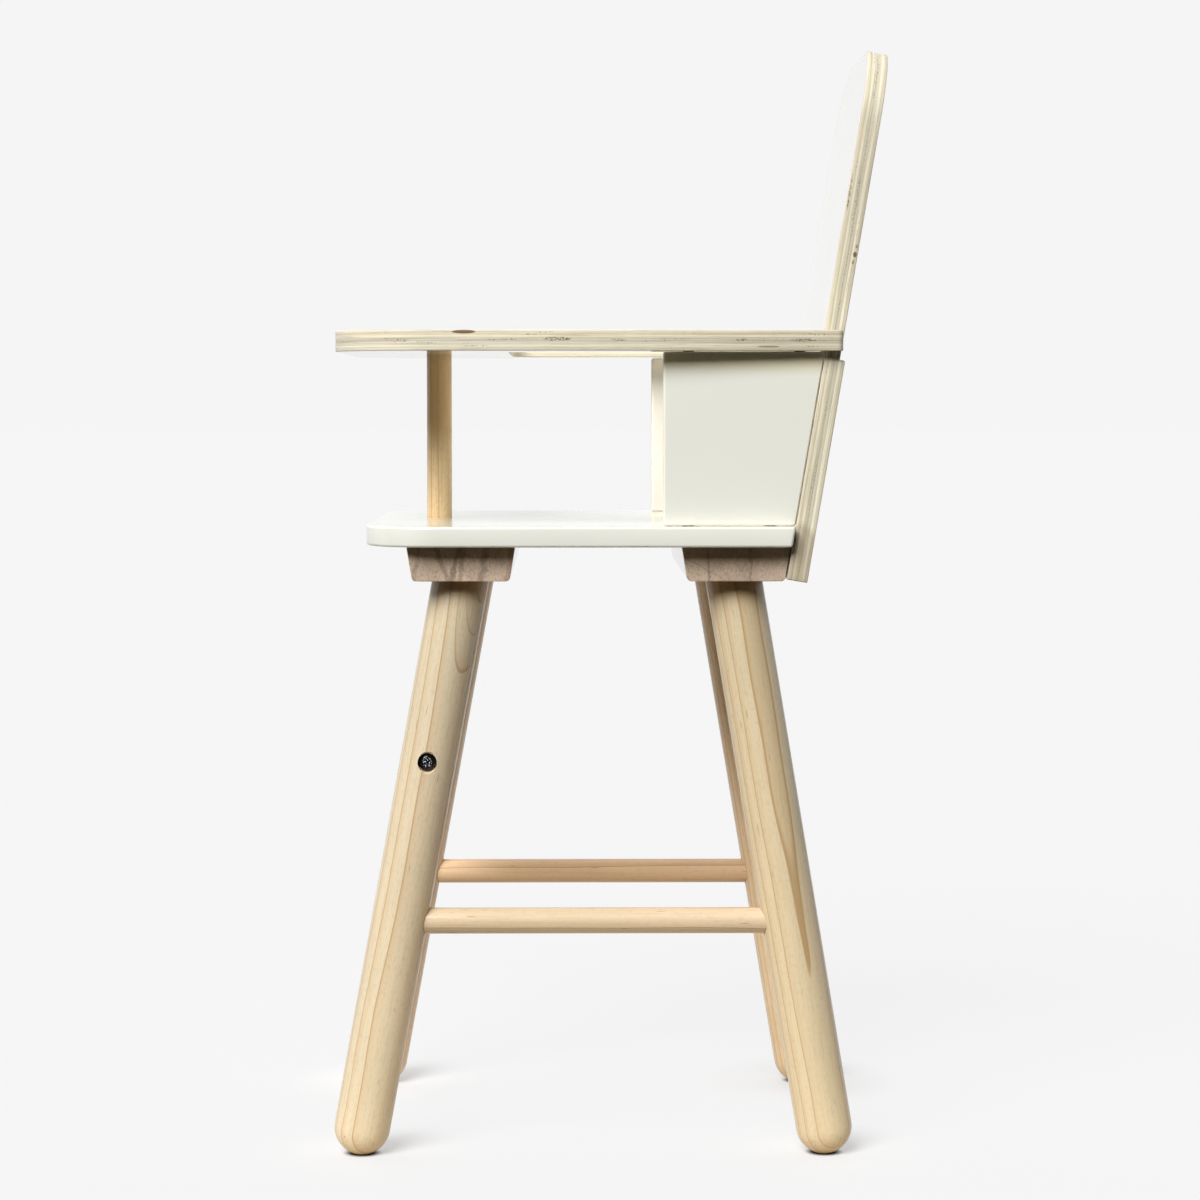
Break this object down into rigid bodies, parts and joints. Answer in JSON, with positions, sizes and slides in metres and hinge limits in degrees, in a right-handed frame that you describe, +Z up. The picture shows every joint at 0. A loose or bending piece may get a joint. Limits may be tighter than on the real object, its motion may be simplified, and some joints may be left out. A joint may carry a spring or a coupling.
{
  "type": "doll high chair",
  "caption": "Doll high chair with a fixed wraparound tray on a centre post, tilted backrest, side panels, round raked legs, side rungs and a footrest bar.",
  "frame": {"origin": "on the floor, at the middle of the bottom of the bounding box", "axes": "+Z up, the front of the chair towards -Y, +X towards the seated doll's left"},
  "size_m": [0.2206, 0.2471, 0.4914],
  "materials": {
    "white_lacquered_ply": "glossy white lacquer on both faces, edges of bare plywood under clear lacquer",
    "white_painted_board": "satin off-white paint all over",
    "pine_leg": "clear satin lacquer on pale pine with fine growth lines",
    "pine_rod": "clear satin lacquer on thin turned rod",
    "beam_wood": "planed and lightly oiled, darker bands in the end grain",
    "pin_wood": "plain turned hardwood",
    "black_screw": "black finished steel with a cross recess"
  },
  "bodies": {
    "root": {"tray_board": "white_lacquered_ply", "backrest_board": "white_lacquered_ply", "seat_board": "white_painted_board", "left_side_panel": "white_painted_board", "right_side_panel": "white_painted_board", "front_left_leg": "pine_leg", "front_right_leg": "pine_leg", "rear_left_leg": "pine_leg", "rear_right_leg": "pine_leg", "left_rung": "pine_rod", "right_rung": "pine_rod", "footrest_bar": "pine_rod", "tray_post": "pine_rod", "front_beam": "beam_wood", "rear_beam": "beam_wood", "seat_left_front_pin": "pin_wood", "seat_left_rear_pin": "pin_wood", "seat_right_front_pin": "pin_wood", "seat_right_rear_pin": "pin_wood", "tray_left_front_pin": "pin_wood", "tray_left_rear_pin": "pin_wood", "tray_right_front_pin": "pin_wood", "tray_right_rear_pin": "pin_wood", "front_left_leg_screw": "black_screw", "front_right_leg_screw": "black_screw", "rear_left_leg_screw": "black_screw", "rear_right_leg_screw": "black_screw", "seat_front_left_screw": "black_screw", "seat_front_right_screw": "black_screw", "seat_rear_left_screw": "black_screw", "seat_rear_right_screw": "black_screw", "footrest_left_screw": "black_screw", "footrest_right_screw": "black_screw", "backrest_screw_1": "black_screw", "backrest_screw_2": "black_screw", "backrest_screw_3": "black_screw"}
  },
  "joints": []
}
